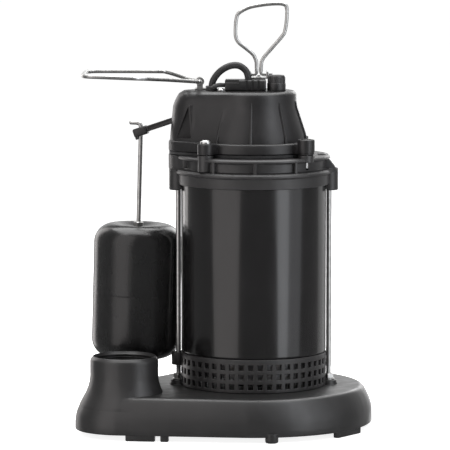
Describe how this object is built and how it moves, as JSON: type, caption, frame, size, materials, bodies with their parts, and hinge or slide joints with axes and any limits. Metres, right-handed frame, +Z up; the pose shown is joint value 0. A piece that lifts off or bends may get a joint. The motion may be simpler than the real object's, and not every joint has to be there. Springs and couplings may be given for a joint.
{
  "type": "submersible sump pump",
  "caption": "Submersible sump pump: a motor in a round steel shell over a strainer and volute base with an upright discharge socket, and a vertical float on a rod and arm.",
  "frame": {"origin": "on the floor under the feet, under the middle of the pump's overall box", "axes": "+Z up, +X from the discharge socket towards the motor, and the float hangs on the +Y side"},
  "size_m": [0.2634, 0.2038, 0.364],
  "materials": {
    "black_plastic": "moulded satin black",
    "charcoal_plastic": "moulded satin charcoal",
    "float_plastic": "blow-moulded glossy black",
    "black_enamel": "gloss black enamel",
    "zinc_steel": "bright zinc-plated",
    "rubber": "moulded black",
    "cable_sheath": "extruded satin black",
    "winding": "varnished copper wire",
    "core_steel": "laminated and machined",
    "switch_plastic": "moulded dark grey",
    "case_aluminium": "satin"
  },
  "bodies": {
    "pump": {"base_housing": "black_plastic", "bottom_plate": "black_plastic", "inlet_strainer": "black_plastic", "cord_block": "black_plastic", "cord_gland": "black_plastic", "upper_collar": "charcoal_plastic", "top_cap": "charcoal_plastic", "motor_shell": "black_enamel", "bottom_plate_screw_1": "zinc_steel", "bottom_plate_screw_2": "zinc_steel", "bottom_plate_screw_3": "zinc_steel", "bottom_plate_screw_4": "zinc_steel", "bottom_plate_screw_5": "zinc_steel", "cap_screw_1": "zinc_steel", "cap_screw_2": "zinc_steel", "cap_screw_3": "zinc_steel", "cap_screw_4": "zinc_steel", "tie_rod_1": "zinc_steel", "tie_rod_2": "zinc_steel", "tie_rod_washer_1": "zinc_steel", "tie_rod_washer_2": "zinc_steel", "tie_rod_nut_1": "zinc_steel", "tie_rod_nut_2": "zinc_steel", "arm_pivot_pin": "zinc_steel", "handle_clip": "zinc_steel", "guide_clip": "zinc_steel", "handle_clip_screw": "zinc_steel", "guide_clip_screw": "zinc_steel", "cap_top_screw": "zinc_steel", "lower_shell_seal": "rubber", "upper_shell_seal": "rubber", "cap_gasket": "rubber", "shaft_seal": "rubber", "lead_bushing": "rubber", "jumper_lead": "cable_sheath", "switch_lead": "cable_sheath", "stator_winding_upper": "winding", "stator_winding_lower": "winding", "stator_core": "core_steel", "lower_end_plate": "core_steel", "lower_bearing": "core_steel", "upper_bearing": "core_steel", "thermal_protector": "switch_plastic", "float_switch_body": "switch_plastic", "start_capacitor": "case_aluminium"},
    "rotor": {"shaft": "zinc_steel", "rotor_core": "case_aluminium", "impeller": "switch_plastic", "impeller_nut": "zinc_steel"},
    "arm": {"float_arm": "black_plastic"},
    "float": {"float_rod": "zinc_steel", "float_rod_nut": "zinc_steel", "float_upper": "float_plastic", "float_lower": "float_plastic"},
    "plunger": {"switch_plunger": "case_aluminium"},
    "handle": {"handle": "zinc_steel"},
    "guide": {"pipe_guide": "zinc_steel"}
  },
  "joints": [
    {"name": "rotor_spin", "type": "hinge", "parent": "pump", "child": "rotor", "pos_m": [0.0297, 0, 0.1], "axis": [0, 0, 1], "continuous": true},
    {"name": "float_arm_pivot", "type": "hinge", "parent": "pump", "child": "arm", "pos_m": [-0.01532, 0.03331, 0.267], "axis": [0.5948, 0.8039, 0], "range_deg": [0, 30]},
    {"name": "float_rod_pivot", "type": "hinge", "parent": "arm", "child": "float", "pos_m": [-0.05032, 0.05921, 0.25218], "axis": [0.5948, 0.8039, 0], "range_deg": [-30, 0]},
    {"name": "switch_plunger_travel", "type": "slide", "parent": "pump", "child": "plunger", "axis": [0, 0, -1], "range_m": [0, 0.0045]},
    {"name": "handle_fold", "type": "hinge", "parent": "pump", "child": "handle", "pos_m": [0.03607, 0.00373, 0.302], "axis": [-0.9136, 0.4067, 0], "range_deg": [0, 80]},
    {"name": "pipe_guide_pivot", "type": "hinge", "parent": "pump", "child": "guide", "pos_m": [-0.00866, 0.02693, 0.296], "axis": [0.4067, 0.9136, 0], "range_deg": [0, 70]}
  ],
  "couplings": [
    {"joint": "float_rod_pivot", "follows": "float_arm_pivot", "ratio": -1},
    {"joint": "switch_plunger_travel", "follows": "float_arm_pivot", "m_per_rad": 0.0082}
  ]
}
